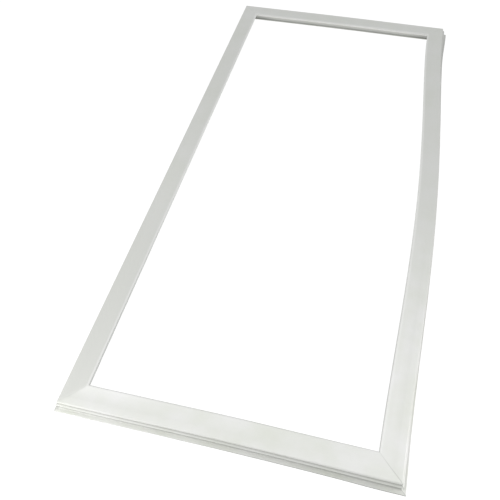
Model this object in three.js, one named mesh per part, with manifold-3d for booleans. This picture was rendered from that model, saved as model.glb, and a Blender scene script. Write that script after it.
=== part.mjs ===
// Refrigerator door gasket, lying face up as it would on a bench.
// Four lengths of one hollow PVC extrusion are mitred and welded into a frame, and a flexible magnet
// strip lies in the pocket of each side. Millimetres, +Z up. X runs along the short sides.

import * as THREE from 'three';
import { mergeVertices } from 'three/addons/utils/BufferGeometryUtils.js';
import Module from 'manifold-3d';

// The frame, measured over the outer edge of the sealing face.
const FRAME_WIDTH = 560;
const FRAME_LENGTH = 1275;

// The extruded section. u is measured inwards from the outer edge of the sealing face, z upwards.
const FACE_WIDTH = 41;
const BODY_HEIGHT = 23.5; // from the underside of the foot to the sealing face
const SKIN = 1;
const FOOT_THICKNESS = 2.2;
const OUTER_WING = 7.2; // how far the foot stands out past the sealing face
const NOSE_OVERHANG = 13; // how far the sealing face stands in past the foot
const NOSE_HEIGHT = 5.6;
const BEAD_WIDTH = 6; // the raised edge along the nose
const FACE_DIP = 0.4; // the face between pocket and bead lies this much lower
const EDGE_ROUND = 1.8;
const WING_ROUND = 0.8;

// The bellows on the outer side: an inward groove, a fold that stands out, and a second groove.
const GROOVE_DEPTH = 2.6;
const FOLD_OUT = 3.2;
const FOLD_DROP = 4; // from the pocket's underside to the tip of the fold
const LOWER_GROOVE_DROP = 5.6; // from the tip of the fold to the deepest line of the lower groove
const FOLD_ROUND = 1;

// The dart that is pushed into the door's channel.
const DART_HEIGHT = 7;
const DART_PLACE = 10.4; // its centre line, inwards from the outer edge of the sealing face
const DART_STEM = 2.2;
const DART_BARBS = 6.4;
const DART_TIP = 1.6;
const BARB_HEIGHT = 4.2;
const BARB_SLOPE = 0.8;

// The magnet strips and their pocket.
const MAGNET_WIDTH = 10;
const MAGNET_THICKNESS = 2.6;
const MAGNET_CLEARANCE = 0.4;
const MAGNET_END_GAP = 4; // from the strip's square end to the mitre
const POCKET_WALL = 1.3;

// The holes that let air out of the cells when the gasket is squeezed.
const VENT_DIAMETER = 2.4;
const VENT_SIDES = 10;

// The weld line that shows across the sealing face at each corner.
const WELD_DEPTH = 0.4;

// How the soft frame lies: its right side bows outwards, and more at the face than at the foot.
const FACE_BOW = 19;
const FOOT_BOW = 15;
const BOW_SPAN = 0.93; // the share of the right side that bows
const BOW_FULLNESS = 1.5; // the power of its sine: less is fuller
const BOTTOM_BOW = 1.6; // inwards
const TOP_BOW = 1.7; // outwards
const TOP_SPLAY = 4.5; // the foot is pushed out at the top right corner
const BOTTOM_SPLAY = 1.8; // and less at the bottom right one
const SPLAY_REACH = 90;

const RIGHT_STOPS = [
  0, 0.06, 0.12, 0.19, 0.26, 0.33, 0.4, 0.47, 0.54, 0.61, 0.68, 0.75, 0.82, 0.88, 0.93, 0.965, 1,
];
const SHORT_STOPS = [0, 0.17, 0.33, 0.5, 0.67, 0.83, 1];
const LEFT_STOPS = [0, 0.5, 1];

const FOOT_LEVEL = DART_HEIGHT;
const FACE_LEVEL = FOOT_LEVEL + BODY_HEIGHT;
const POCKET_WIDTH = MAGNET_WIDTH + 2 * MAGNET_CLEARANCE;
const POCKET_HEIGHT = MAGNET_THICKNESS + 2 * MAGNET_CLEARANCE;
const POCKET_INNER = POCKET_WALL + POCKET_WIDTH;
const POCKET_FLOOR = FACE_LEVEL - SKIN - POCKET_HEIGHT;
const POCKET_UNDERSIDE = POCKET_FLOOR - SKIN;
const CELL_FLOOR = FOOT_LEVEL + FOOT_THICKNESS;
const FOOT_INNER = FACE_WIDTH - NOSE_OVERHANG;
const FOLD_LEVEL = POCKET_UNDERSIDE - FOLD_DROP;
const LOWER_GROOVE_LEVEL = FOLD_LEVEL - LOWER_GROOVE_DROP;

const profileMaterial = new THREE.MeshStandardMaterial({ color: 0xe6e7e2, roughness: 0.42, metalness: 0 });
const magnetMaterial = new THREE.MeshStandardMaterial({ color: 0x2f2b29, roughness: 0.8, metalness: 0 });

// The sides in order round the frame, each with its run and the way to the opening on its left.
const SIDES = {
  bottom: side(0, 0, 1, 0, FRAME_WIDTH, SHORT_STOPS, [0.5]),
  right: side(FRAME_WIDTH, 0, 0, 1, FRAME_LENGTH, RIGHT_STOPS, [0.26, 0.75]),
  top: side(FRAME_WIDTH, FRAME_LENGTH, -1, 0, FRAME_WIDTH, SHORT_STOPS, [0.5]),
  left: side(0, FRAME_LENGTH, 0, -1, FRAME_LENGTH, LEFT_STOPS, [0.25, 0.75]),
};

function side(x, y, alongX, alongY, length, stops, vents) {
  return {
    start: new THREE.Vector2(x, y),
    along: new THREE.Vector2(alongX, alongY),
    inward: new THREE.Vector2(-alongY, alongX),
    length,
    stops,
    vents,
  };
}

// A closed outline through corners [u, z, radius], each rounded by a curve that starts and ends on its sides.
function roundedShape(corners) {
  const path = new THREE.Shape();
  const points = corners.map(([u, z]) => new THREE.Vector2(u, z));
  corners.forEach(([, , radius = 0], i) => {
    const corner = points[i];
    const before = points.at(i - 1).clone().sub(corner);
    const after = points[(i + 1) % points.length].clone().sub(corner);
    const halfAngle = before.angleTo(after) / 2;
    const reach = Math.min(radius / Math.tan(halfAngle), before.length() * 0.45, after.length() * 0.45);
    const from = corner.clone().add(before.setLength(reach));
    const to = corner.clone().add(after.setLength(reach));
    if (i === 0) path.moveTo(from.x, from.y);
    else path.lineTo(from.x, from.y);
    if (radius > 0) path.quadraticCurveTo(corner.x, corner.y, to.x, to.y);
  });
  path.closePath();
  return path;
}

function outerSkin() {
  const dartLeft = DART_PLACE - DART_STEM / 2;
  const dartRight = DART_PLACE + DART_STEM / 2;
  const barbLevel = BARB_HEIGHT - BARB_SLOPE;
  return roundedShape([
    [-OUTER_WING, FOOT_LEVEL, WING_ROUND],
    [dartLeft, FOOT_LEVEL],
    [dartLeft, BARB_HEIGHT],
    [DART_PLACE - DART_BARBS / 2, barbLevel],
    [DART_PLACE - DART_TIP / 2, 0],
    [DART_PLACE + DART_TIP / 2, 0],
    [DART_PLACE + DART_BARBS / 2, barbLevel],
    [dartRight, BARB_HEIGHT],
    [dartRight, FOOT_LEVEL],
    [FOOT_INNER, FOOT_LEVEL, WING_ROUND],
    [FOOT_INNER, FOOT_LEVEL + FOOT_THICKNESS * 0.8, WING_ROUND],
    [FOOT_INNER - 2 * SKIN, CELL_FLOOR, SKIN],
    [FACE_WIDTH - NOSE_HEIGHT / 2, FACE_LEVEL - NOSE_HEIGHT, EDGE_ROUND],
    [FACE_WIDTH, FACE_LEVEL - NOSE_HEIGHT * 0.7, EDGE_ROUND],
    [FACE_WIDTH, FACE_LEVEL, EDGE_ROUND],
    [FACE_WIDTH - BEAD_WIDTH * 0.6, FACE_LEVEL, EDGE_ROUND],
    [FACE_WIDTH - BEAD_WIDTH, FACE_LEVEL - FACE_DIP],
    [POCKET_INNER + 2 * SKIN, FACE_LEVEL - FACE_DIP],
    [POCKET_INNER + SKIN, FACE_LEVEL],
    [0, FACE_LEVEL, EDGE_ROUND],
    [0, POCKET_UNDERSIDE, EDGE_ROUND],
    [GROOVE_DEPTH, POCKET_UNDERSIDE - SKIN * 0.4, SKIN * 0.4],
    [-FOLD_OUT, FOLD_LEVEL, FOLD_ROUND],
    [GROOVE_DEPTH, LOWER_GROOVE_LEVEL, FOLD_ROUND],
    [-SKIN, CELL_FLOOR, SKIN],
    [-OUTER_WING, FOOT_LEVEL + FOOT_THICKNESS * 0.8, WING_ROUND],
  ]);
}

function pocketCell() {
  return roundedShape([
    [POCKET_WALL, POCKET_FLOOR],
    [POCKET_INNER, POCKET_FLOOR],
    [POCKET_INNER, FACE_LEVEL - SKIN],
    [POCKET_WALL, FACE_LEVEL - SKIN],
  ]);
}

function bellowsCell() {
  const groove = GROOVE_DEPTH + SKIN * 1.2;
  return roundedShape([
    [SKIN, CELL_FLOOR],
    [POCKET_INNER - SKIN, CELL_FLOOR],
    [POCKET_INNER, POCKET_UNDERSIDE],
    [groove, POCKET_UNDERSIDE],
    [groove, POCKET_UNDERSIDE - SKIN],
    [-FOLD_OUT + 2.2 * SKIN, FOLD_LEVEL, FOLD_ROUND / 2],
    [groove, LOWER_GROOVE_LEVEL, FOLD_ROUND],
  ]);
}

function airCell() {
  const web = POCKET_INNER + SKIN;
  const roof = FACE_LEVEL - FACE_DIP - SKIN;
  return roundedShape([
    [web - SKIN, CELL_FLOOR],
    [FOOT_INNER - 5 * SKIN, CELL_FLOOR, SKIN],
    [FACE_WIDTH - NOSE_HEIGHT / 2 - SKIN, FACE_LEVEL - NOSE_HEIGHT + SKIN],
    [FACE_WIDTH - 1.3 * SKIN, FACE_LEVEL - NOSE_HEIGHT * 0.65, SKIN],
    [FACE_WIDTH - 1.3 * SKIN, roof, EDGE_ROUND],
    [web, roof],
    [web, POCKET_UNDERSIDE],
  ]);
}

// The place of a section point on the mitred frame, a share of the way along one side.
function onFrame({ start, along, inward, length }, share, u, z) {
  return atRun({ start, along, inward }, u + share * (length - 2 * u), u, z);
}

// The same, at a run in millimetres from the side's first corner.
function atRun({ start, along, inward }, run, u, z) {
  const plan = start.clone().addScaledVector(along, run).addScaledVector(inward, u);
  return settle(new THREE.Vector3(plan.x, plan.y, z));
}

// Moves a point of the true rectangle to where the soft frame carries it.
function settle(point) {
  const { x, y, z } = point;
  const { clamp, smoothstep, lerp } = THREE.MathUtils;
  const rise = (z - FOOT_LEVEL) / BODY_HEIGHT;
  const toRight = smoothstep(x, FRAME_WIDTH * 0.25, FRAME_WIDTH * 0.75);
  const toTop = smoothstep(y, FRAME_LENGTH * 0.25, FRAME_LENGTH * 0.75);
  const upright = clamp(y / FRAME_LENGTH / BOW_SPAN, 0, 1);
  const across = clamp(x / FRAME_WIDTH, 0, 1);
  const rightBow = lerp(FOOT_BOW, FACE_BOW, rise) * Math.sin(Math.PI * upright) ** BOW_FULLNESS;
  const shortBow = lerp(BOTTOM_BOW, TOP_BOW, toTop) * Math.sin(Math.PI * across) ** 2;
  const fromTop = Math.hypot(x - FRAME_WIDTH, y - FRAME_LENGTH) / SPLAY_REACH;
  const fromBottom = Math.hypot(x - FRAME_WIDTH, y) / SPLAY_REACH;
  const topPush = TOP_SPLAY * (1 - rise) * Math.exp(-(fromTop ** 2));
  const bottomPush = BOTTOM_SPLAY * (1 - rise) * Math.exp(-(fromBottom ** 2));
  return point.set(x + toRight * (rightBow + topPush + bottomPush), y + shortBow - bottomPush, z);
}

// A section extruded along one side. Each layer of the extrusion is then laid on its own stop.
function extrudeAlong(section, layers, place) {
  const geometry = new THREE.ExtrudeGeometry(section, {
    depth: layers - 1,
    steps: layers - 1,
    bevelEnabled: false,
    curveSegments: 2,
  });
  const position = geometry.getAttribute('position');
  for (let i = 0; i < position.count; i += 1) {
    const point = place(position.getX(i), position.getY(i), Math.round(position.getZ(i)));
    position.setXYZ(i, point.x, point.y, point.z);
  }
  return geometry;
}

function profileAlong(frameSide, section) {
  return extrudeAlong(section, frameSide.stops.length, (u, z, layer) =>
    onFrame(frameSide, frameSide.stops[layer], u, z),
  );
}

function magnetAlong(frameSide) {
  const left = POCKET_WALL + MAGNET_CLEARANCE;
  const right = left + MAGNET_WIDTH;
  const floor = POCKET_FLOOR + MAGNET_CLEARANCE;
  const section = new THREE.Shape([
    new THREE.Vector2(left, floor),
    new THREE.Vector2(right, floor),
    new THREE.Vector2(right, floor + MAGNET_THICKNESS),
    new THREE.Vector2(left, floor + MAGNET_THICKNESS),
  ]);
  const last = frameSide.stops.length - 1;
  const endRun = right + MAGNET_END_GAP;
  return extrudeAlong(section, frameSide.stops.length, (u, z, layer) => {
    if (layer === 0) return atRun(frameSide, endRun, u, z);
    if (layer === last) return atRun(frameSide, frameSide.length - endRun, u, z);
    return onFrame(frameSide, frameSide.stops[layer], u, z);
  });
}

const wasm = await Module();
wasm.setup();

function toSolid(geometry) {
  const bare = geometry.index ? geometry.toNonIndexed() : geometry.clone();
  bare.deleteAttribute('normal');
  bare.deleteAttribute('uv');
  const merged = mergeVertices(bare, 1e-3);
  const mesh = new wasm.Mesh({
    numProp: 3,
    vertProperties: merged.getAttribute('position').array,
    triVerts: new Uint32Array(merged.index.array),
  });
  return new wasm.Manifold(mesh);
}

function toGeometry(solid) {
  const { vertProperties, triVerts } = solid.getMesh();
  const geometry = new THREE.BufferGeometry();
  geometry.setAttribute('position', new THREE.BufferAttribute(vertProperties, 3));
  geometry.setIndex(new THREE.BufferAttribute(triVerts, 1));
  geometry.computeVertexNormals();
  return geometry;
}

// An upright punch at a share of one side, from below the foot up to a level.
function ventPunch(frameSide, share, u, topLevel) {
  const bottomLevel = FOOT_LEVEL - SKIN;
  const centre = onFrame(frameSide, share, u, FOOT_LEVEL);
  const punch = new THREE.CylinderGeometry(
    VENT_DIAMETER / 2,
    VENT_DIAMETER / 2,
    topLevel - bottomLevel,
    VENT_SIDES,
  );
  punch.rotateX(Math.PI / 2);
  punch.translate(centre.x, centre.y, (topLevel + bottomLevel) / 2);
  return toSolid(punch);
}

// Two punches at each vent: one opens the air cell, the other the bellows cell and the pocket above it.
function ventPunches(frameSide) {
  const bellowsPlace = (GROOVE_DEPTH + SKIN + DART_PLACE - DART_STEM / 2) / 2;
  const airPlace = (POCKET_INNER + FOOT_INNER - 5 * SKIN) / 2;
  return frameSide.vents.flatMap((share) => [
    ventPunch(frameSide, share, bellowsPlace, POCKET_FLOOR + MAGNET_CLEARANCE / 2),
    ventPunch(frameSide, share, airPlace, CELL_FLOOR + SKIN),
  ]);
}

// A bar laid edge down across the sealing face, from the outer corner to the corner of the opening.
function weldCut({ start, along, inward }) {
  const outer = start;
  const inner = start.clone().addScaledVector(along, FACE_WIDTH).addScaledVector(inward, FACE_WIDTH);
  const run = inner.clone().sub(outer);
  const bar = new THREE.BoxGeometry(run.length() * 1.1, WELD_DEPTH * Math.SQRT2, WELD_DEPTH * Math.SQRT2);
  bar.rotateX(Math.PI / 4);
  bar.rotateZ(run.angle());
  const middle = outer.clone().add(inner).multiplyScalar(0.5);
  bar.translate(middle.x, middle.y, FACE_LEVEL);
  return toSolid(bar);
}

// One section carried round all four sides, with its mitred ends joined.
function ring(section) {
  return Object.values(SIDES)
    .map((frameSide) => toSolid(profileAlong(frameSide, section)))
    .reduce((joined, next) => joined.add(next));
}

function weldedProfile() {
  const sides = Object.values(SIDES);
  const cells = [pocketCell(), bellowsCell(), airCell()].map(ring);
  const cuts = [...cells, ...sides.flatMap(ventPunches), ...sides.map(weldCut)];
  return toGeometry(cuts.reduce((frame, cut) => frame.subtract(cut), ring(outerSkin())));
}

function namedMesh(name, geometry, material) {
  const mesh = new THREE.Mesh(geometry, material);
  mesh.name = name;
  return mesh;
}

const gasket = new THREE.Group();
gasket.add(namedMesh('gasket_profile', weldedProfile(), profileMaterial));
for (const [name, frameSide] of Object.entries(SIDES)) {
  gasket.add(namedMesh(`magnet_strip_${name}`, magnetAlong(frameSide), magnetMaterial));
}

// The origin is on the bench, under the middle of the frame's own box.
const middle = new THREE.Box3().setFromObject(gasket).getCenter(new THREE.Vector3());
gasket.children.forEach((mesh) => mesh.position.set(-middle.x, -middle.y, 0));

export default gasket;
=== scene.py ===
"""Looks of a refrigerator door gasket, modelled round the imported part.

The gasket is made as the real one is: a hollow vinyl section is extruded, its four
lengths are cut to mitres and welded into a frame, and vents are punched in its foot.
Places are in metres, +Z up. A size whose name ends in _mm is in millimetres.
"""

from __future__ import annotations

import logging
import math
from dataclasses import dataclass, field
from enum import Enum
from typing import Any

import bpy
from mathutils import Matrix, Vector, noise

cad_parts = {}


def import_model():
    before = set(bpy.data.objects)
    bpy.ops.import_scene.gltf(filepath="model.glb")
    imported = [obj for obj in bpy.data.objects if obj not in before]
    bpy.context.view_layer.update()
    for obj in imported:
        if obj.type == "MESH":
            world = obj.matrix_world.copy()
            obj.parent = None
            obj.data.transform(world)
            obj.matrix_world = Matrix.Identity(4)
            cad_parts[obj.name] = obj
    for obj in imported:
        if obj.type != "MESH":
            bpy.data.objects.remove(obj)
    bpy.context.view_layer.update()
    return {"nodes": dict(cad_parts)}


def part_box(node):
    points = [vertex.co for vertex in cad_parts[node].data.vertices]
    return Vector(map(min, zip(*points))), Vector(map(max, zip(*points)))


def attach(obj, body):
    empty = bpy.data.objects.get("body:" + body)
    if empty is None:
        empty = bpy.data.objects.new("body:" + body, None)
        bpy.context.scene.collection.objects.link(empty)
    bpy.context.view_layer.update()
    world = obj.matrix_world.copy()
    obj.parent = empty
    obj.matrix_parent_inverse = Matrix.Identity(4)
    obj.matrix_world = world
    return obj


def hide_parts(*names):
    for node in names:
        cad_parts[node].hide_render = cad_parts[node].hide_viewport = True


LOG = logging.getLogger("gasket")

MM = 0.001
MERGE_MM = 0.01
SMOOTH_DEGREES = 38.0

Colour = tuple[float, float, float, float]
Corner = tuple[float, ...]
Point = tuple[float, float]


class Side(Enum):
    """The four lengths of the frame, numbered by their quarter turns round it."""

    BOTTOM = 0
    RIGHT = 1
    TOP = 2
    LEFT = 3


class Wall(Enum):
    """Which way the wall of a ring faces."""

    OUTWARD = "outward"
    INTO_CELL = "into cell"


def smoothstep(value: float, low: float, high: float) -> float:
    """Return 0 below low, 1 above high, and a smooth step between them.

    Args:
        value: What is measured.
        low: Where the step starts.
        high: Where the step ends.

    Returns:
        A share from 0 to 1.
    """
    share = min(max((value - low) / (high - low), 0.0), 1.0)
    return share * share * (3.0 - 2.0 * share)


def lerp(start: float, end: float, share: float) -> float:
    """Return the value that lies a share of the way from start to end."""
    return start + (end - start) * share


def linear_colour(hex_code: str) -> Colour:
    """Turn an sRGB hex colour into a linear one.

    Args:
        hex_code: Six hex digits, such as "D2D3CF".

    Returns:
        Linear red, green and blue, and an alpha of 1.
    """
    channels = [int(hex_code[i : i + 2], 16) / 255 for i in (0, 2, 4)]
    red, green, blue = (
        c / 12.92 if c <= 0.04045 else ((c + 0.055) / 1.055) ** 2.4 for c in channels
    )
    return (red, green, blue, 1.0)


def select_only(*objects: bpy.types.Object) -> None:
    """Select these objects alone, the first of them active.

    Args:
        objects: What to select.
    """
    bpy.ops.object.select_all(action="DESELECT")
    for item in objects:
        item.select_set(True)
    bpy.context.view_layer.objects.active = objects[0]


def edit(item: bpy.types.Object) -> None:
    """Open an object's mesh for editing with all of it selected.

    Args:
        item: The mesh object.
    """
    select_only(item)
    bpy.ops.object.mode_set(mode="EDIT")
    bpy.ops.mesh.select_all(action="SELECT")


def close_edit() -> None:
    """Go back to object mode."""
    bpy.ops.object.mode_set(mode="OBJECT")


def join(items: list[bpy.types.Object]) -> bpy.types.Object:
    """Join mesh objects into the first one and return it.

    Args:
        items: The objects, which become one.

    Returns:
        The first of them.
    """
    select_only(*items)
    bpy.ops.object.join()
    return items[0]


def add_node(
    tree: bpy.types.NodeTree,
    kind: str,
    settings: dict[str, Any] | None = None,
    inputs: dict[str | int, Any] | None = None,
) -> bpy.types.Node:
    """Add a shader node with its settings, values and links.

    Args:
        tree: The node tree to add to.
        kind: The node's type, such as "ShaderNodeTexNoise".
        settings: Attributes of the node.
        inputs: For each socket, a value or the output socket to link it to.

    Returns:
        The new node.
    """
    node = tree.nodes.new(kind)
    for name, value in (settings or {}).items():
        setattr(node, name, value)
    for name, value in (inputs or {}).items():
        if isinstance(value, bpy.types.NodeSocket):
            tree.links.new(value, node.inputs[name])
        else:
            node.inputs[name].default_value = value
    return node


def new_material(name: str) -> tuple[bpy.types.Material, bpy.types.NodeTree, bpy.types.Node]:
    """Make a material and return it with its tree and its Principled shader.

    Args:
        name: The material's name.

    Returns:
        The material, its node tree and its shader node.
    """
    material = bpy.data.materials.new(name)
    material.use_nodes = True
    return material, material.node_tree, material.node_tree.nodes["Principled BSDF"]


@dataclass(frozen=True)
class ExtrudedVinyl:
    """Plasticised PVC, extruded through a die: a soft off-white with a satin skin.

    The die leaves faint lines along each length, and the plasticiser clouds the white a
    little. Hot plates leave a thin darker line where two lengths are welded. Painted shade
    greys the vinyl on the left and at the far end, a painted highlight lightens the top of
    the bead, and painted shade darkens the folds and edges and the recess under the nose.
    """

    white: str = "E4E4E1"
    cloud: str = "DADCD3"
    # Painted shade: the grey for the left length and the far end.
    left_far_grey: str = "D3D4CE"
    # Painted highlight: the light colour for the bead's top and a patch by the near left corner.
    bead_highlight: str = "F0F0ED"
    weld_grey: str = "94968F"
    # Painted shade: the grey for the grooves, folds, edges and the recess under the nose.
    painted_shade_grey: str = "71736F"
    roughness: float = 0.42
    roughness_spread: float = 0.06
    ior: float = 1.53
    cloud_mm: float = 60.0
    cloud_edges: tuple[float, float] = (0.3, 0.7)
    # Real die lines are about 0.3 mm apart and the real grain is about 0.1 mm. Both are
    # drawn coarser, or neither would show.
    die_line_mm: float = 1.8
    die_line_run_mm: float = 400.0
    die_line_depth_mm: float = 0.05
    grain_mm: float = 2.4
    grain_depth_mm: float = 0.03
    ripple_mm: float = 26.0
    ripple_depth_mm: float = 0.25

    def build(self) -> bpy.types.Material:
        """Make the material.

        Returns:
            A material that reads the UV map named rail, the mark weld, and three marks that
            paint light into the colour: two of painted shade and one of painted highlight.
        """
        # The die's steel polishes the vinyl to a satin, so its sheen is wide and soft.
        material, tree, shader = new_material("extruded plasticised PVC")
        place = add_node(tree, "ShaderNodeTexCoord").outputs["Object"]
        clouds = add_node(
            tree,
            "ShaderNodeTexNoise",
            inputs={"Vector": place, "Scale": 1 / (self.cloud_mm * MM), "Detail": 3.0},
        )
        spread = add_node(
            tree,
            "ShaderNodeMapRange",
            inputs={
                "Value": clouds.outputs["Fac"],
                "From Min": self.cloud_edges[0],
                "From Max": self.cloud_edges[1],
            },
        )
        # Three of these marks paint light into the colour: painted shade on the left and at the
        # far end, a painted highlight on the bead, and painted shade in the folds, edges and under
        # the nose. The weld line is the vinyl's own.
        marks = (
            ("left_far_shade", self.left_far_grey),
            ("bead_highlight", self.bead_highlight),
            ("painted_shade", self.painted_shade_grey),
            ("weld", self.weld_grey),
        )
        mixes: dict[str, Any] = {"data_type": "RGBA"}
        white, cloud = linear_colour(self.white), linear_colour(self.cloud)
        shares = {0: spread.outputs["Result"], 6: white, 7: cloud}
        colour = add_node(tree, "ShaderNodeMix", mixes, shares).outputs[2]
        for name, shade in marks:
            mark = add_node(tree, "ShaderNodeAttribute", {"attribute_name": name})
            shares = {0: mark.outputs["Fac"], 6: colour, 7: linear_colour(shade)}
            colour = add_node(tree, "ShaderNodeMix", mixes, shares).outputs[2]
        tree.links.new(colour, shader.inputs["Base Color"])
        tree.links.new(self._surface(tree, place), shader.inputs["Normal"])
        gloss = add_node(
            tree,
            "ShaderNodeMapRange",
            inputs={
                "Value": clouds.outputs["Fac"],
                "To Min": self.roughness - self.roughness_spread,
                "To Max": self.roughness + self.roughness_spread,
            },
        )
        tree.links.new(gloss.outputs["Result"], shader.inputs["Roughness"])
        shader.inputs["IOR"].default_value = self.ior
        return material

    def _surface(
        self, tree: bpy.types.NodeTree, place: bpy.types.NodeSocket
    ) -> bpy.types.NodeSocket:
        """Return the normal of the skin: soft ripples, die lines and a fine grain.

        Args:
            tree: The material's node tree.
            place: Object coordinates.

        Returns:
            The output that carries the normal.
        """
        along = add_node(tree, "ShaderNodeUVMap", {"uv_map": "rail"}).outputs["UV"]
        scale = (1 / (self.die_line_run_mm * MM), 1 / (self.die_line_mm * MM), 1.0)
        stretched = add_node(tree, "ShaderNodeMapping", inputs={"Vector": along, "Scale": scale})
        layers = (
            (place, self.ripple_mm * MM, 1.0, self.ripple_depth_mm),
            (stretched.outputs["Vector"], 1.0, 2.0, self.die_line_depth_mm),
            (place, self.grain_mm * MM, 2.0, self.grain_depth_mm),
        )
        normal = None
        for vector, size, detail, depth_mm in layers:
            pattern = add_node(
                tree,
                "ShaderNodeTexNoise",
                inputs={"Vector": vector, "Scale": 1 / size, "Detail": detail},
            )
            relief: dict[str | int, Any] = {
                "Height": pattern.outputs["Fac"],
                "Distance": depth_mm * MM,
            }
            if normal is not None:
                relief["Normal"] = normal
            normal = add_node(tree, "ShaderNodeBump", inputs=relief).outputs["Normal"]
        return normal


@dataclass(frozen=True)
class FerriteRubber:
    """Ferrite-filled rubber, calendered into strips: matt, dark brown, faintly grained.

    Its filler is a powder far finer than a millimetre, so its grain is drawn coarser.
    """

    dark: str = "2B2724"
    light: str = "3D3733"
    roughness: float = 0.78
    patch_mm: float = 9.0
    grain_mm: float = 0.5
    grain_depth_mm: float = 0.04

    def build(self) -> bpy.types.Material:
        """Make the material.

        Returns:
            A material that reads object coordinates.
        """
        # The rolled, powder-filled rubber scatters all light: it looks dull and dark.
        material, tree, shader = new_material("ferrite-filled magnet rubber")
        place = add_node(tree, "ShaderNodeTexCoord").outputs["Object"]
        patches, grain = (
            add_node(
                tree,
                "ShaderNodeTexNoise",
                inputs={"Vector": place, "Scale": 1 / (size_mm * MM), "Detail": 3.0},
            ).outputs["Fac"]
            for size_mm in (self.patch_mm, self.grain_mm)
        )
        colour = add_node(
            tree,
            "ShaderNodeMix",
            {"data_type": "RGBA"},
            {0: patches, 6: linear_colour(self.dark), 7: linear_colour(self.light)},
        )
        relief = add_node(
            tree,
            "ShaderNodeBump",
            inputs={"Height": grain, "Distance": self.grain_depth_mm * MM},
        )
        tree.links.new(colour.outputs[2], shader.inputs["Base Color"])
        tree.links.new(relief.outputs["Normal"], shader.inputs["Normal"])
        shader.inputs["Roughness"].default_value = self.roughness
        return material


@dataclass(frozen=True)
class StudioFloor:
    """Opal acrylic, lit from below as a light table: its glow drowns any shadow."""

    opal: str = "5A5A5A"
    light: str = "FFFFFF"
    roughness: float = 0.9
    glow: float = 0.97

    def build(self) -> bpy.types.Material:
        """Make the material.

        Returns:
            An even glow over a matt base.
        """
        # The cast sheet diffuses the light below it, so it looks evenly white.
        material, _, shader = new_material("opal acrylic light table")
        shader.inputs["Base Color"].default_value = linear_colour(self.opal)
        shader.inputs["Roughness"].default_value = self.roughness
        shader.inputs["Specular IOR Level"].default_value = 0.0
        shader.inputs["Emission Color"].default_value = linear_colour(self.light)
        shader.inputs["Emission Strength"].default_value = self.glow
        return material


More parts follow.
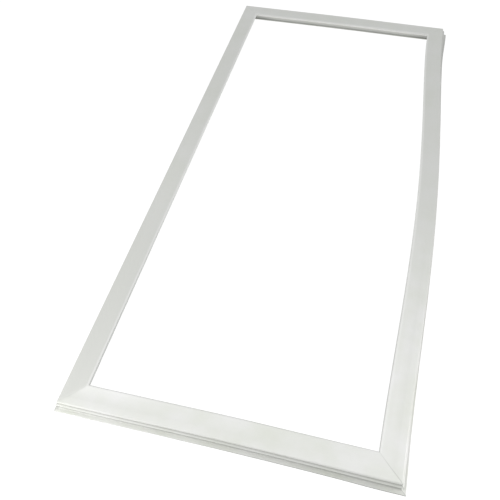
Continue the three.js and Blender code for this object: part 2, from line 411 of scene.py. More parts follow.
@dataclass(frozen=True)
class Section:
    """The extruded section in millimetres, u inwards from the sealing face's outer edge.

    The underside of the foot is at foot_level, and the dart reaches down to 0.
    """

    face_width: float = 41.0
    body_height: float = 23.5
    skin: float = 1.0
    foot_thickness: float = 2.2
    foot_edge_share: float = 0.8
    outer_wing: float = 7.2
    nose_overhang: float = 13.0
    nose_height: float = 5.6
    nose_front_share: float = 0.7
    bead_width: float = 6.0
    bead_round_share: float = 0.6
    face_dip: float = 0.4
    face_sag: float = 0.35
    pocket_fall: float = 7.0
    edge_round: float = 1.8
    wing_round: float = 0.8
    groove_depth: float = 2.6
    fold_out: float = 3.2
    fold_drop: float = 4.0
    upper_groove_drop: float = 0.4
    lower_groove_drop: float = 5.6
    fold_round: float = 1.0
    foot_level: float = 7.0
    dart_place: float = 10.4
    dart_stem: float = 2.2
    dart_barbs: float = 6.4
    dart_tip: float = 1.6
    barb_height: float = 4.2
    barb_slope: float = 0.8
    dart_round: float = 0.35
    magnet_width: float = 10.0
    magnet_thickness: float = 2.6
    magnet_clearance: float = 0.4
    pocket_wall: float = 1.3
    groove_wall: float = 1.2
    fold_wall: float = 2.2
    nose_wall: float = 1.3
    nose_cell_share: float = 0.65
    cell_end: float = 5.0
    cell_arc_steps: int = 2
    arc_steps: int = 5
    sag_points: int = 13

    @property
    def face_level(self) -> float:
        """The height of the sealing face."""
        return self.foot_level + self.body_height

    @property
    def pocket_inner(self) -> float:
        """The inner wall of the magnet pocket."""
        return self.pocket_wall + self.magnet_width + 2 * self.magnet_clearance

    @property
    def pocket_floor(self) -> float:
        """The floor of the magnet pocket."""
        pocket_height = self.magnet_thickness + 2 * self.magnet_clearance
        return self.face_level - self.skin - pocket_height

    @property
    def pocket_underside(self) -> float:
        """The underside of the pocket's floor."""
        return self.pocket_floor - self.skin

    @property
    def cell_floor(self) -> float:
        """The floor of the two air cells."""
        return self.foot_level + self.foot_thickness

    @property
    def foot_inner(self) -> float:
        """The inner edge of the foot."""
        return self.face_width - self.nose_overhang

    @property
    def fold_level(self) -> float:
        """The height of the bellows' fold."""
        return self.pocket_underside - self.fold_drop

    @property
    def upper_groove_level(self) -> float:
        """The height of the deepest line of the upper groove."""
        return self.pocket_underside - self.upper_groove_drop

    @property
    def lower_groove_level(self) -> float:
        """The height of the deepest line of the lower groove."""
        return self.fold_level - self.lower_groove_drop

    def outside(self) -> list[Point]:
        """Return the closed outline of the section.

        Returns:
            Its points, counterclockwise.
        """
        foot, face = self.foot_level, self.face_level
        stem_left = self.dart_place - self.dart_stem / 2
        stem_right = self.dart_place + self.dart_stem / 2
        barb = self.barb_height - self.barb_slope
        nose_low = face - self.nose_height
        corners: list[Corner] = [
            (-self.outer_wing, foot, self.wing_round),
            (stem_left, foot, self.dart_round),
            (stem_left, self.barb_height, self.dart_round),
            (self.dart_place - self.dart_barbs / 2, barb, self.dart_round),
            (self.dart_place - self.dart_tip / 2, 0.0, self.dart_round),
            (self.dart_place + self.dart_tip / 2, 0.0, self.dart_round),
            (self.dart_place + self.dart_barbs / 2, barb, self.dart_round),
            (stem_right, self.barb_height, self.dart_round),
            (stem_right, foot, self.dart_round),
            (self.foot_inner, foot, self.wing_round),
            (self.foot_inner, foot + self.foot_thickness * self.foot_edge_share, self.wing_round),
            (self.foot_inner - 2 * self.skin, self.cell_floor, self.skin),
            (self.face_width - self.nose_height / 2, nose_low, self.edge_round),
            (self.face_width, face - self.nose_height * self.nose_front_share, self.edge_round),
            (self.face_width, face, self.edge_round),
            (self.face_width - self.bead_width * self.bead_round_share, face, self.edge_round),
            *self._dished_skin(),
            (0.0, face, self.edge_round),
            (0.0, self.pocket_underside, self.edge_round),
            (self.groove_depth, self.upper_groove_level, self.upper_groove_drop),
            (-self.fold_out, self.fold_level, self.fold_round),
            (self.groove_depth, self.lower_groove_level, self.fold_round),
            (-self.skin, self.cell_floor, self.skin),
            (-self.outer_wing, foot + self.foot_thickness * self.foot_edge_share, self.wing_round),
        ]
        return rounded_outline(corners, self.arc_steps)

    def _dished_skin(self) -> list[Corner]:
        """Return the face's skin from the bead to the pocket.

        Returns:
            Its points, dished between the two.
        """
        start = self.face_width - self.bead_width
        end = self.pocket_inner - self.skin
        corners: list[Corner] = []
        for i in range(self.sag_points):
            share = i / (self.sag_points - 1)
            u = lerp(start, end, share)
            dip = self.face_dip * smoothstep(u, end, end + self.pocket_fall)
            sag = self.face_sag * math.sin(math.pi * share) ** 2
            corners.append((u, self.face_level - dip - sag))
        return corners

    def pocket(self) -> list[Point]:
        """Return the magnet pocket's outline.

        Returns:
            Its four corners, counterclockwise.
        """
        low, high = self.pocket_floor, self.face_level - self.skin
        left, right = self.pocket_wall, self.pocket_inner
        return [(left, low), (right, low), (right, high), (left, high)]

    def bellows_cell(self) -> list[Point]:
        """Return the outline of the air cell behind the bellows.

        Returns:
            Its points, counterclockwise.
        """
        groove = self.groove_depth + self.groove_wall
        fold = self.fold_round
        corners: list[Corner] = [
            (self.skin, self.cell_floor, self.skin / 2),
            (self.pocket_inner - self.skin, self.cell_floor, self.skin / 2),
            (self.pocket_inner, self.pocket_underside, self.skin / 2),
            (groove, self.pocket_underside),
            (groove, self.pocket_underside - self.skin),
            (-self.fold_out + self.fold_wall, self.fold_level, fold / 2),
            (groove, self.lower_groove_level, fold),
        ]
        return rounded_outline(corners, self.cell_arc_steps)

    def air_cell(self) -> list[Point]:
        """Return the outline of the wide air cell under the face.

        Returns:
            Its points, counterclockwise.
        """
        web = self.pocket_inner + self.skin
        roof = self.face_level - self.face_dip - self.face_sag - self.skin
        nose_low = self.face_level - self.nose_height
        nose_end = self.face_width - self.nose_wall
        corners: list[Corner] = [
            (web - self.skin, self.cell_floor, self.skin / 2),
            (self.foot_inner - self.cell_end, self.cell_floor, self.skin),
            (self.face_width - self.nose_height / 2 - self.skin, nose_low + self.skin),
            (nose_end, self.face_level - self.nose_height * self.nose_cell_share, self.skin),
            (nose_end, roof, self.skin),
            (web, roof, self.skin / 2),
            (web, self.pocket_underside),
        ]
        return rounded_outline(corners, self.cell_arc_steps)


def rounded_outline(corners: list[Corner], arc_steps: int) -> list[Point]:
    """Round the corners of a closed outline.

    Args:
        corners: Corners as (u, z) or (u, z, radius), in order round the outline.
        arc_steps: How many straight steps each rounded corner takes.

    Returns:
        The points of the outline.
    """
    longest_share = 0.45
    outline: list[Point] = []
    for i, (u, z, *radius) in enumerate(corners):
        corner = Vector((u, z))
        if not radius:
            outline.append((u, z))
            continue
        before = Vector(corners[i - 1][:2]) - corner
        after = Vector(corners[(i + 1) % len(corners)][:2]) - corner
        reach = min(
            radius[0] / math.tan(before.angle(after) / 2),
            before.length * longest_share,
            after.length * longest_share,
        )
        start = corner + before.normalized() * reach
        end = corner + after.normalized() * reach
        for step in range(arc_steps + 1):
            t = step / arc_steps
            point = start.lerp(corner, t).lerp(corner.lerp(end, t), t)
            outline.append((point.x, point.y))
    return outline


@dataclass(frozen=True)
class Nick:
    """A small dent or lump on the bead, as handling leaves them.

    Attributes:
        side: The length that it is on.
        run_mm: Its place along that length, from the length's first corner.
        spread_mm: How far it spreads each way.
        lift_mm: How far it stands up, or sinks if it is negative.
    """

    side: Side
    run_mm: float
    spread_mm: float
    lift_mm: float


@dataclass(frozen=True)
class Lie:
    """How the soft frame lies on the bench, in millimetres.

    Its right side bows outwards, more at the face than at the foot, the short sides bow
    a little, and the foot is splayed at the two right corners. The nose lifts a little.
    """

    face_bow: float = 19.0
    foot_bow: float = 15.0
    bow_span: float = 0.93
    bow_fullness: float = 1.5
    bottom_bow: float = 1.6
    top_bow: float = 1.7
    top_splay: float = 4.5
    bottom_splay: float = 1.8
    splay_reach: float = 90.0
    crossing: tuple[float, float] = (0.25, 0.75)
    nose_lift: float = 0.6
    nose_wave: float = 0.55
    wing_wave: float = 0.9
    wave_run: float = 48.0
    slow_run: float = 144.0
    slow_share: float = 0.5
    slow_layer: float = 90.0


@dataclass
class GasketProfile:
    """The welded vinyl frame, modelled length by length as it is made."""

    section: Section = field(default_factory=Section)
    lie: Lie = field(default_factory=Lie)
    width_mm: float = 560.0
    length_mm: float = 1275.0
    saw_allowance_mm: float = 15.0
    long_cuts: int = 96
    short_cuts: int = 42
    cell_cuts: int = 30
    weld_width_mm: float = 1.1
    weld_halo_mm: float = 5.0
    weld_depth_mm: float = 0.35
    weld_strength: tuple[float, ...] = (0.08, 0.42, 0.1, 0.08)
    weld_fade: float = 0.6
    weld_fade_start: float = 0.4
    weld_rise: tuple[float, float] = (0.9, 0.97)
    # Painted shade: darker on the near part of the left length and towards the far end.
    left_shade_blend_mm: float = 6.0
    left_shade_fade_mm: tuple[float, float] = (200.0, 900.0)
    far_shade: float = 0.6
    far_shade_mm: tuple[float, float] = (100.0, 700.0)
    # Painted highlight: a line along the bead's top, and a patch by the near left inner corner.
    bead_highlight_strength: float = 0.55
    bead_highlight_line_mm: tuple[float, float] = (4.5, 3.0)
    corner_highlight_strength: float = 0.4
    corner_highlight_across_mm: tuple[float, float] = (20.5, 36.0)
    corner_highlight_fade_mm: tuple[float, float] = (60.0, 200.0)
    # Painted shade: along the inner edge, on the outer side, in its grooves, on the wing's edge
    # and under the nose, where it is darkest at the corners.
    edge_shade: float = 0.38
    edge_line_mm: tuple[float, float] = (1.9, 0.9)
    edge_fade_mm: tuple[float, float] = (100.0, 700.0)
    outer_reach_mm: float = 2.9
    side_shade: float = 0.1
    side_start_mm: tuple[float, float] = (0.6, 2.4)
    near_shade_ramp_mm: tuple[float, float] = (60.0, 400.0)
    right_shade_ramp_mm: tuple[float, float] = (100.0, 800.0)
    groove_shade: float = 1.0
    groove_reach_mm: tuple[float, float] = (1.4, 2.1)
    wing_shade: float = 0.85
    wing_edge_mm: tuple[float, float] = (6.48, 7.2)
    under_nose_from_mm: Point = (4.0, 0.2)
    under_nose: tuple[float, float] = (0.75, 1.35)
    open_share: float = 0.3
    corner_reach_mm: float = 60.0
    vent_diameter_mm: float = 2.4
    vent_sides: int = 24
    vents: dict[Side, tuple[float, ...]] = field(
        default_factory=lambda: {
            Side.BOTTOM: (0.5,),
            Side.RIGHT: (0.26, 0.75),
            Side.TOP: (0.5,),
            Side.LEFT: (0.25, 0.75),
        }
    )
    nick_band_mm: tuple[float, float] = (33.0, 39.0)
    nicks: tuple[Nick, ...] = (
        Nick(Side.LEFT, 1159.0, 5.0, 0.7),
        Nick(Side.LEFT, 1177.0, 6.0, 0.9),
        Nick(Side.LEFT, 1140.0, 4.0, -0.5),
        Nick(Side.LEFT, 131.0, 6.0, 0.6),
        Nick(Side.LEFT, 200.0, 6.0, 0.6),
        Nick(Side.LEFT, 640.0, 9.0, -0.5),
        Nick(Side.TOP, 180.0, 8.0, 0.5),
        Nick(Side.BOTTOM, 70.0, 6.0, -0.4),
    )

    def build(self, origin: Vector) -> bpy.types.Object:
        """Model the frame.

        Args:
            origin: Where the outer corner of the sealing face stands, at bench level.

        Returns:
            The finished mesh object, at the origin with its place in its mesh.
        """
        body = self._ring("gasket", self.section.outside(), Wall.OUTWARD)
        cells = [
            self._ring("cell", outline, Wall.INTO_CELL)
            for outline in (
                self.section.pocket(),
                self.section.bellows_cell(),
                self.section.air_cell(),
            )
        ]
        self._mark_surface(body)
        gasket = join([body, *cells])
        self._settle_mesh(gasket)
        self._punch_vents(gasket)
        gasket.data.transform(Matrix.Translation(origin))
        select_only(gasket)
        bpy.ops.object.shade_smooth_by_angle(angle=math.radians(SMOOTH_DEGREES))
        return gasket

    def side_length(self, side: Side) -> float:
        """Return a side's length over the sealing face's outer edge, in millimetres."""
        return self.width_mm if side in (Side.BOTTOM, Side.TOP) else self.length_mm

    def side_matrix(self, side: Side) -> Matrix:
        """Return what carries a length lying along +X to its side of the frame.

        Args:
            side: The side that the length is for.

        Returns:
            A quarter turn and a shift, in metres.
        """
        corners = {
            Side.BOTTOM: (0.0, 0.0),
            Side.RIGHT: (self.width_mm, 0.0),
            Side.TOP: (self.width_mm, self.length_mm),
            Side.LEFT: (0.0, self.length_mm),
        }
        x, y = corners[side]
        turn = Matrix.Rotation(math.radians(90 * side.value), 4, "Z")
        return Matrix.Translation((x * MM, y * MM, 0.0)) @ turn

    def _ring(self, name: str, outline: list[Point], wall: Wall) -> bpy.types.Object:
        """Extrude, mitre and weld one outline into a closed ring.

        Args:
            name: The mesh's name.
            outline: The section's points, in millimetres.
            wall: Which way its faces look.

        Returns:
            The ring, before it is laid down.
        """
        lengths = [self._mitred_length(name, outline, side, wall) for side in Side]
        ring = join(lengths)
        edit(ring)
        bpy.ops.mesh.remove_doubles(threshold=MERGE_MM * MM)
        bpy.ops.mesh.normals_make_consistent(inside=wall is Wall.INTO_CELL)
        close_edit()
        return ring

    def _mitred_length(
        self, name: str, outline: list[Point], side: Side, wall: Wall
    ) -> bpy.types.Object:
        """Extrude one length of an outline and saw both of its ends to 45 degrees.

        Args:
            name: The mesh's name.
            outline: The section's points, in millimetres.
            side: The side that the length is for.
            wall: Which way its faces look.

        Returns:
            The length, in its place in the frame.
        """
        length = self.side_length(side) * MM
        start = -self.saw_allowance_mm * MM
        bpy.ops.object.select_all(action="DESELECT")
        bpy.ops.mesh.primitive_circle_add(
            vertices=len(outline), radius=self.section.face_width * MM, fill_type="NGON"
        )
        bar = bpy.context.object
        bar.name = name
        for vertex, (u, z) in zip(bar.data.vertices, outline):
            vertex.co = (start, u * MM, z * MM)
        edit(bar)
        bpy.ops.mesh.extrude_region_move(
            TRANSFORM_OT_translate={"value": (length - 2 * start, 0, 0)}
        )
        for at, slope, trims in ((0.0, -1.0, "clear_inner"), (length, 1.0, "clear_outer")):
            bpy.ops.mesh.select_all(action="SELECT")
            bpy.ops.mesh.bisect(plane_co=(at, 0, 0), plane_no=(1, slope, 0), **{trims: True})
        close_edit()
        self._divide_length(bar, side, wall)
        self._map_rail(bar, outline)
        bar.data.transform(self.side_matrix(side))
        return bar

    def _divide_length(self, bar: bpy.types.Object, side: Side, wall: Wall) -> None:
        """Cut a length across: close to its welds, and then evenly between them.

        Args:
            bar: The length, lying along +X.
            side: The side that it is for.
            wall: Which way its faces look.
        """
        length = self.side_length(side) * MM
        if wall is Wall.OUTWARD:
            edit(bar)
            for near_mm in (self.weld_width_mm / 2, self.weld_width_mm, self.weld_halo_mm):
                offset = near_mm * MM * math.sqrt(2)
                for at, slope in ((offset, -1.0), (length - offset, 1.0)):
                    bpy.ops.mesh.select_all(action="SELECT")
                    bpy.ops.mesh.bisect(plane_co=(at, 0, 0), plane_no=(1, slope, 0))
            close_edit()
        cuts = self.long_cuts if side in (Side.RIGHT, Side.LEFT) else self.short_cuts
        if wall is Wall.INTO_CELL:
            cuts = self.cell_cuts
        longest = length / 2
        for item in (*bar.data.vertices, *bar.data.polygons, *bar.data.edges):
            item.select = False
        for edge in bar.data.edges:
            first, second = (bar.data.vertices[i].co for i in edge.vertices)
            edge.select = abs(first.x - second.x) > longest
        modes = bpy.context.tool_settings
        modes.mesh_select_mode = (False, True, False)
        bpy.ops.object.mode_set(mode="EDIT")
        bpy.ops.mesh.subdivide(number_cuts=cuts)
        close_edit()
        modes.mesh_select_mode = (True, False, False)

    def _map_rail(self, bar: bpy.types.Object, outline: list[Point]) -> None:
        """Give a length a UV map in metres: along its run, and round its section.

        Args:
            bar: The length, lying along +X.
            outline: The section's points, in millimetres.
        """
        girths = [0.0]
        for i, point in enumerate(outline):
            girths.append(girths[-1] + math.dist(point, outline[(i + 1) % len(outline)]))
        keys = {(round(u, 2), round(z, 2)): girths[i] for i, (u, z) in enumerate(outline)}
        mesh = bar.data
        places = [(round(v.co.y / MM, 2), round(v.co.z / MM, 2)) for v in mesh.vertices]
        layer = mesh.uv_layers.get("rail") or mesh.uv_layers.new(name="rail")
        for face in mesh.polygons:
            around = [keys.get(places[mesh.loops[i].vertex_index], 0.0) for i in face.loop_indices]
            closes = max(around) - min(around) > girths[-1] / 2
            for i, girth in zip(face.loop_indices, around):
                run = mesh.vertices[mesh.loops[i].vertex_index].co.x
                turn = girths[-1] if closes and girth < girths[-1] / 2 else 0.0
                layer.data[i].uv = (run, (girth + turn) * MM)

    def _mark_surface(self, body: bpy.types.Object) -> None:
        """Mark welds, painted shade and a painted highlight on the outside, while it is true.

        Args:
            body: The outside of the frame, before it is laid down.
        """
        names = ("weld", "painted_shade", "left_far_shade", "bead_highlight")
        for name in names:
            body.data.attributes.new(name, "FLOAT", "POINT")
        weld, painted_shade, left_far_shade, bead_highlight = (body.data.attributes[name] for name in names)
        for i, vertex in enumerate(body.data.vertices):
            x, y, z = (value / MM for value in vertex.co)
            u = self._inwards(x, y)
            weld.data[i].value = self._weld_nearness(x, y)
            # Painted shade: darker on the near part of the left length and towards the far end.
            left = min(y, self.length_mm - y) - x
            left_far_grey = smoothstep(left, -self.left_shade_blend_mm, self.left_shade_blend_mm)
            on_left = left_far_grey * (1 - smoothstep(y, *self.left_shade_fade_mm))
            left_far_shade.data[i].value = max(on_left, self.far_shade * smoothstep(y, *self.far_shade_mm))
            # Painted highlight on the bead.
            bead_highlight.data[i].value = self._bead_highlight_share(x, y, u, z)
            # Painted shade on the outer and inner sides.
            painted_shade.data[i].value = max(self._outer_side_shade(x, y, u, z), self._inner_side_shade(x, y, u, z))

    def _bead_highlight_share(self, x: float, y: float, u: float, z: float) -> float:
        """Return the painted highlight on the bead: a thin line, and a patch by the near left
        corner.

        Args:
            x: Its place across the true frame.
            y: Its place along the true frame.
            u: How far it lies inwards from the sealing face's outer edge.
            z: Its height above the bench.

        Returns:
            A share from 0 to 1.
        """
        section = self.section
        if z < section.face_level - section.nose_height * section.nose_front_share:
            return 0.0
        if self._side_at(x, y) is Side.BOTTOM:
            near = 1 - smoothstep(x, *self.corner_highlight_fade_mm)
            return self.corner_highlight_strength * near * smoothstep(u, *self.corner_highlight_across_mm)
        start, full = (section.face_width - reach for reach in self.bead_highlight_line_mm)
        return self.bead_highlight_strength * smoothstep(u, start, full)

    def _outer_side_shade(self, x: float, y: float, u: float, z: float) -> float:
        """Return the painted shade on the outer side: most in its two grooves and along its foot.

        Args:
            x: Its place across the true frame.
            y: Its place along the true frame.
            u: How far it lies inwards from the sealing face's outer edge.
            z: Its height above the bench.

        Returns:
            A share from 0 to 1.
        """
        section = self.section
        if u > self.outer_reach_mm:
            return 0.0
        side = self._side_at(x, y)
        # Away from the grooves, the painted shade fades out towards the near left corner and
        # towards the near end of the right length.
        shade_ramp = 1.0
        if side is Side.BOTTOM:
            shade_ramp = smoothstep(x, *self.near_shade_ramp_mm)
        elif side is Side.RIGHT:
            shade_ramp = smoothstep(y, *self.right_shade_ramp_mm)
        below = smoothstep(section.face_level - z, *self.side_start_mm)
        on_edge = self.wing_shade * smoothstep(-u, *self.wing_edge_mm)
        grooves = (
            (section.groove_depth, section.upper_groove_level),
            (section.groove_depth, section.lower_groove_level),
        )
        in_groove = max(
            self.groove_shade * math.exp(-((math.dist(groove, (u, z)) / reach) ** 2))
            for groove, reach in zip(grooves, self.groove_reach_mm)
        )
        return max(self.side_shade * below * shade_ramp, on_edge * shade_ramp, in_groove)

    def _inner_side_shade(self, x: float, y: float, u: float, z: float) -> float:
        """Return the painted shade on the inner side: under the nose, and thinly along its edge.

        Args:
            x: Its place across the true frame.
            y: Its place along the true frame.
            u: How far it lies inwards from the sealing face's outer edge.
            z: Its height above the bench.

        Returns:
            A share from 0 to 1.
        """
        section = self.section
        nose_low = section.face_level - section.nose_height
        if z > nose_low:
            start, full = (section.face_width - reach for reach in self.edge_line_mm)
            near = 1 - smoothstep(y, *self.edge_fade_mm)
            return self.edge_shade * near * smoothstep(u, start, full)
        start_u, start_z = self.under_nose_from_mm
        if u < section.foot_inner - start_u or z < section.cell_floor + start_z:
            return 0.0
        # The painted shade under the nose is darkest at the corners.
        across = min(x, self.width_mm - x)
        up = min(y, self.length_mm - y)
        from_corner = max(across, up) - section.face_width
        painted_shade = 1.0 - self.open_share * smoothstep(from_corner, 0.0, self.corner_reach_mm)
        below = (section.face_level - z) / section.nose_height
        return painted_shade * smoothstep(below, *self.under_nose)

    def _side_at(self, x: float, y: float) -> Side:
        """Return the side whose outer edge is nearest to a plan point.

        Args:
            x: Its place across the true frame.
            y: Its place along the true frame.

        Returns:
            The nearest side.
        """
        apart = {
            Side.BOTTOM: y,
            Side.RIGHT: self.width_mm - x,
            Side.TOP: self.length_mm - y,
            Side.LEFT: x,
        }
        return min(apart, key=apart.__getitem__)

    def _inwards(self, x: float, y: float) -> float:
        """Return how far a plan point lies inside the sealing face's outer edge."""
        return min(x, y, self.width_mm - x, self.length_mm - y)

    def _weld_nearness(self, x: float, y: float) -> float:
        """Return 1 on a weld line, falling to 0 beside it, by how much it shows.

        Args:
            x: Its place across the true frame.
            y: Its place along the true frame.

        Returns:
            A share from 0 to 1.
        """
        right, top = self.width_mm - x, self.length_mm - y
        corners = ((x, y), (right, y), (right, top), (x, top))
        nearness = 0.0
        face_width = self.section.face_width
        for strength, (across, up) in zip(self.weld_strength, corners):
            if max(across, up) < face_width + self.section.skin * 2:
                apart = abs(across - up) / math.sqrt(2)
                fade_start = face_width * self.weld_fade_start
                inner = 1 - self.weld_fade * smoothstep(across, fade_start, face_width)
                nearness = strength * inner * (1 - smoothstep(apart, 0.0, self.weld_width_mm))
        return nearness

    def _settle_mesh(self, gasket: bpy.types.Object) -> None:
        """Lay the true frame down as the soft one lies.

        Args:
            gasket: The whole mesh, changed in place.
        """
        for vertex in gasket.data.vertices:
            x, y, z = (value / MM for value in vertex.co)
            vertex.co = self.settled(x, y, z) * MM
        gasket.data.update()

    def settled(self, x: float, y: float, z: float) -> Vector:
        """Return where the soft frame carries a point of the true one, in millimetres.

        Args:
            x: Its place across the true frame.
            y: Its place along the true frame.
            z: Its height above the bench.

        Returns:
            Its place as the frame lies.
        """
        section, lie = self.section, self.lie
        u = self._inwards(x, y)
        rise = (z - section.foot_level) / section.body_height
        to_right = smoothstep(x / self.width_mm, *lie.crossing)
        to_top = smoothstep(y / self.length_mm, *lie.crossing)
        upright = min(max(y / self.length_mm / lie.bow_span, 0.0), 1.0)
        across = min(max(x / self.width_mm, 0.0), 1.0)
        right_bow = lerp(lie.foot_bow, lie.face_bow, rise)
        right_bow *= max(math.sin(math.pi * upright), 0.0) ** lie.bow_fullness
        short_bow = lerp(lie.bottom_bow, lie.top_bow, to_top) * math.sin(math.pi * across) ** 2
        from_top = math.hypot(x - self.width_mm, y - self.length_mm) / lie.splay_reach
        from_bottom = math.hypot(x - self.width_mm, y) / lie.splay_reach
        top_push = lie.top_splay * (1 - rise) * math.exp(-(from_top**2))
        bottom_push = lie.bottom_splay * (1 - rise) * math.exp(-(from_bottom**2))
        lift = self._lift(x, y, z, u)
        on_face = smoothstep(rise, *self.weld_rise)
        dimple = -self.weld_depth_mm * self._weld_nearness(x, y) * on_face
        pushed = x + to_right * (right_bow + top_push + bottom_push)
        return Vector((pushed, y + short_bow - bottom_push, z + lift + dimple))

    def _lift(self, x: float, y: float, z: float, u: float) -> float:
        """Return how far the nose lifts and waves and the foot's wing waves, at a point.

        Args:
            x: Its place across the true frame.
            y: Its place along the true frame.
            z: Its height above the bench.
            u: How far it lies inwards from the sealing face's outer edge.

        Returns:
            The lift, in millimetres.
        """
        section, lie = self.section, self.lie
        nose = smoothstep(u, section.pocket_inner + section.skin * 2, section.face_width)
        nose_start = section.face_level - section.nose_height - section.skin * 4
        nose *= smoothstep(z, nose_start, section.face_level - section.skin * 2)
        wing = smoothstep(-u, 0.0, section.outer_wing)
        wave = noise.noise(Vector((x, y, 0.0)) / lie.wave_run)
        slow = noise.noise(Vector((x, y, lie.slow_layer)) / lie.slow_run)
        lift = nose * (lie.nose_wave * (wave + slow) + lie.nose_lift)
        lift += wing * lie.wing_wave * (wave + lie.slow_share * slow)
        for nick in self.nicks:
            run, inwards = self._along(nick.side, x, y)
            if inwards < section.face_width + section.skin and nose > 0:
                near = math.exp(-(((run - nick.run_mm) / nick.spread_mm) ** 2))
                lift += nick.lift_mm * near * smoothstep(inwards, *self.nick_band_mm)
        return lift

    def _along(self, side: Side, x: float, y: float) -> Point:
        """Return a plan point's run along a side and its distance inwards from it.

        Args:
            side: The side to measure from.
            x: Its place across the true frame.
            y: Its place along the true frame.

        Returns:
            The run from the side's first corner, and the distance.
        """
        if side is Side.BOTTOM:
            return (x, y)
        if side is Side.RIGHT:
            return (y, self.width_mm - x)
        if side is Side.TOP:
            return (self.width_mm - x, self.length_mm - y)
        return (self.length_mm - y, x)

    def _punch_vents(self, gasket: bpy.types.Object) -> None:
        """Punch each cell's vents up through the foot.

        Args:
            gasket: The frame as it lies, cut in place.
        """
        section = self.section
        bellows = (section.groove_depth + section.skin + section.dart_place) / 2
        bellows -= section.dart_stem / 4
        air = (section.pocket_inner + section.foot_inner - section.cell_end) / 2
        pocket_top = section.pocket_floor + section.magnet_clearance / 2
        cell_top = section.cell_floor + section.skin
        punches = []
        for side, shares in self.vents.items():
            for share in shares:
                punches.append(self._punch(side, share, bellows, pocket_top))
                punches.append(self._punch(side, share, air, cell_top))
        cutter = join(punches)
        select_only(gasket)
        bpy.ops.object.modifier_add(type="BOOLEAN")
        cut = gasket.modifiers[-1]
        cut.operation, cut.solver, cut.object = "DIFFERENCE", "EXACT", cutter
        bpy.ops.object.modifier_apply(modifier=cut.name)
        bpy.data.objects.remove(cutter)

    def _punch(self, side: Side, share: float, u: float, top: float) -> bpy.types.Object:
        """Return an upright punch through the foot at a share of one side.

        Args:
            side: The side to punch.
            share: How far along the side, from 0 to 1.
            u: How far inwards from the outer edge.
            top: How high the punch reaches.

        Returns:
            A cylinder that cuts one vent.
        """
        bottom = self.section.foot_level - self.section.skin
        run = u + share * (self.side_length(side) - 2 * u)
        plan = self.side_matrix(side) @ Vector((run * MM, u * MM, 0.0))
        place = self.settled(plan.x / MM, plan.y / MM, self.section.foot_level)
        bpy.ops.object.select_all(action="DESELECT")
        bpy.ops.mesh.primitive_cylinder_add(
            vertices=self.vent_sides,
            radius=self.vent_diameter_mm / 2 * MM,
            depth=(top - bottom) * MM,
            location=(place.x * MM, place.y * MM, (top + bottom) / 2 * MM),
        )
        bpy.ops.object.transform_apply(location=True, rotation=True, scale=True)
        return bpy.context.object


@dataclass(frozen=True)
class Lamp:
    """A square soft light.

    Attributes:
        name: Its name.
        place: Where it stands, in metres.
        size: Its side.
        watts: Its power.
        target: What it is aimed at.
    """

    name: str
    place: tuple[float, float, float]
    size: float
    watts: float
    target: tuple[float, float, float]


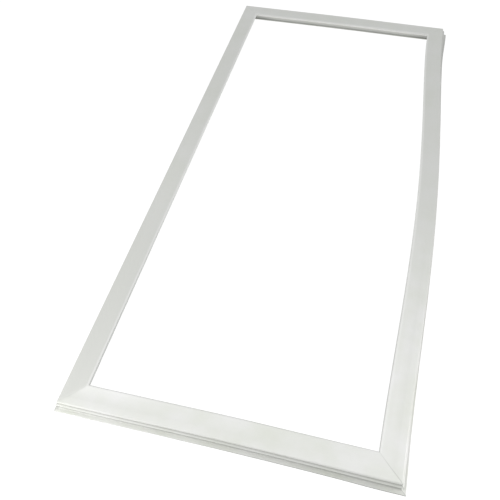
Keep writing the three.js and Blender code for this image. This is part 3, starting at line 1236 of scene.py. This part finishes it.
@dataclass
class Studio:
    """A pale floor, soft lights and the camera where the photographer stood."""

    floor_size: float = 16.0
    ceiling: float = 0.855
    horizon: float = 0.35
    ceiling_edge: tuple[float, float] = (0.25, 0.6)
    ceiling_middle: tuple[float, float, float] = (0.0, 0.34, 0.94)
    camera_from_corner_mm: tuple[float, float, float] = (424.1, -353.2, 928.0)
    view_direction: tuple[float, float, float] = (-0.161, 0.614, -0.7727)
    roll_degrees: float = -1.04
    focal_px: float = 614.2
    image_px: float = 500.0
    sensor_mm: float = 36.0
    lamp_colour: str = "FFFEFF"
    sky_colour: str = "FCFDFF"
    lamps: tuple[Lamp, ...] = (
        Lamp("key light", (-0.14, -0.9, 1.08), 0.3, 3.4, (-0.08, -0.5, 0.0)),
        Lamp("left light", (-0.48, -0.93, 0.13), 0.2, 0.9, (-0.25, -0.64, 0.02)),
        Lamp("right light", (0.72, -0.52, 0.16), 0.3, 1.2, (0.29, -0.60, 0.02)),
    )

    def build(self, face_corner: Vector) -> list[str]:
        """Set up the studio.

        Args:
            face_corner: The near left corner of the sealing face.

        Returns:
            The names of what was added.
        """
        bpy.context.scene.view_settings.view_transform = "Standard"
        floor = self._floor()
        sky = self._sky()
        lights = [self._softbox(lamp) for lamp in self.lamps]
        camera = self._camera(face_corner)
        return [item.name for item in (floor, sky, *lights, camera)]

    def _floor(self) -> bpy.types.Object:
        """Lay the floor that the gasket lies on.

        Returns:
            The floor.
        """
        bpy.ops.object.select_all(action="DESELECT")
        bpy.ops.mesh.primitive_plane_add(size=self.floor_size)
        floor = bpy.context.object
        floor.name = "studio_floor"
        floor.data.materials.append(StudioFloor().build())
        return floor

    def _sky(self) -> bpy.types.World:
        """Light the room from a broad white ceiling, with dimmer walls.

        Returns:
            The world.
        """
        world = bpy.data.worlds.new("studio_light")
        bpy.context.scene.world = world
        world.use_nodes = True
        tree = world.node_tree
        background = tree.nodes["Background"]
        background.inputs["Color"].default_value = linear_colour(self.sky_colour)
        direction = add_node(tree, "ShaderNodeTexCoord").outputs["Generated"]
        height = add_node(
            tree,
            "ShaderNodeVectorMath",
            {"operation": "DOT_PRODUCT"},
            {0: direction, 1: self.ceiling_middle},
        )
        strength = add_node(
            tree,
            "ShaderNodeMapRange",
            {"interpolation_type": "SMOOTHSTEP"},
            {
                "Value": height.outputs["Value"],
                "From Min": self.ceiling_edge[0],
                "From Max": self.ceiling_edge[1],
                "To Min": self.horizon,
                "To Max": self.ceiling,
            },
        )
        tree.links.new(strength.outputs["Result"], background.inputs["Strength"])
        return world

    def _softbox(self, lamp: Lamp) -> bpy.types.Object:
        """Add a soft light aimed at its target.

        Args:
            lamp: Its size, place and power.

        Returns:
            The light.
        """
        panel = bpy.data.lights.new(lamp.name, "AREA")
        panel.size, panel.energy = lamp.size, lamp.watts
        panel.color = linear_colour(self.lamp_colour)[:3]
        light = bpy.data.objects.new(lamp.name, panel)
        light.location = lamp.place
        aim = Vector(lamp.target) - light.location
        light.rotation_euler = aim.to_track_quat("-Z", "Y").to_euler()
        bpy.context.scene.collection.objects.link(light)
        return light

    def _camera(self, face_corner: Vector) -> bpy.types.Object:
        """Stand the camera where the photograph was taken from.

        Args:
            face_corner: The near left corner of the sealing face.

        Returns:
            The camera, in use.
        """
        lens = bpy.data.cameras.new("photographer")
        lens.sensor_width = self.sensor_mm
        lens.lens = self.focal_px / self.image_px * lens.sensor_width
        camera = bpy.data.objects.new("photographer", lens)
        camera.location = face_corner + Vector(self.camera_from_corner_mm) * MM
        level = Vector(self.view_direction).to_track_quat("-Z", "Y").to_matrix()
        roll = Matrix.Rotation(math.radians(self.roll_degrees), 3, "Z")
        camera.rotation_euler = (level @ roll).to_euler()
        bpy.context.scene.collection.objects.link(camera)
        bpy.context.scene.camera = camera
        return camera


def dress_magnets(nodes: dict[str, bpy.types.Object]) -> list[str]:
    """Give the magnet strips their material and return their names.

    Args:
        nodes: The frame's nodes by name.

    Returns:
        The names of the strips.
    """
    rubber = FerriteRubber().build()
    strips = [name for name in sorted(nodes) if name.startswith("magnet_strip")]
    for name in strips:
        slots = nodes[name].data.materials
        slots.clear()
        slots.append(rubber)
    return strips


def main() -> None:
    """Build the gasket, dress it and set up the studio."""
    logging.basicConfig(level=logging.INFO, format="%(name)s: %(message)s")
    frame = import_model()

    low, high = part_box("gasket_profile")
    profile = GasketProfile()
    wing = profile.section.outer_wing
    reach = profile.length_mm + profile.lie.top_bow + wing
    corner = Vector((low.x + wing * MM, high.y - reach * MM, low.z))
    gasket = profile.build(corner)
    gasket.name = "vinyl_gasket"
    gasket.data.materials.clear()
    gasket.data.materials.append(ExtrudedVinyl().build())
    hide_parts("gasket_profile")
    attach(gasket, "root")
    LOG.info("%s: %d faces", gasket.name, len(gasket.data.polygons))

    for name in dress_magnets(frame["nodes"]):
        LOG.info("%s: ferrite rubber", name)

    face_corner = corner + Vector((0, 0, profile.section.face_level * MM))
    for name in Studio().build(face_corner):
        LOG.info("studio: %s", name)


if __name__ == "__main__":
    main()
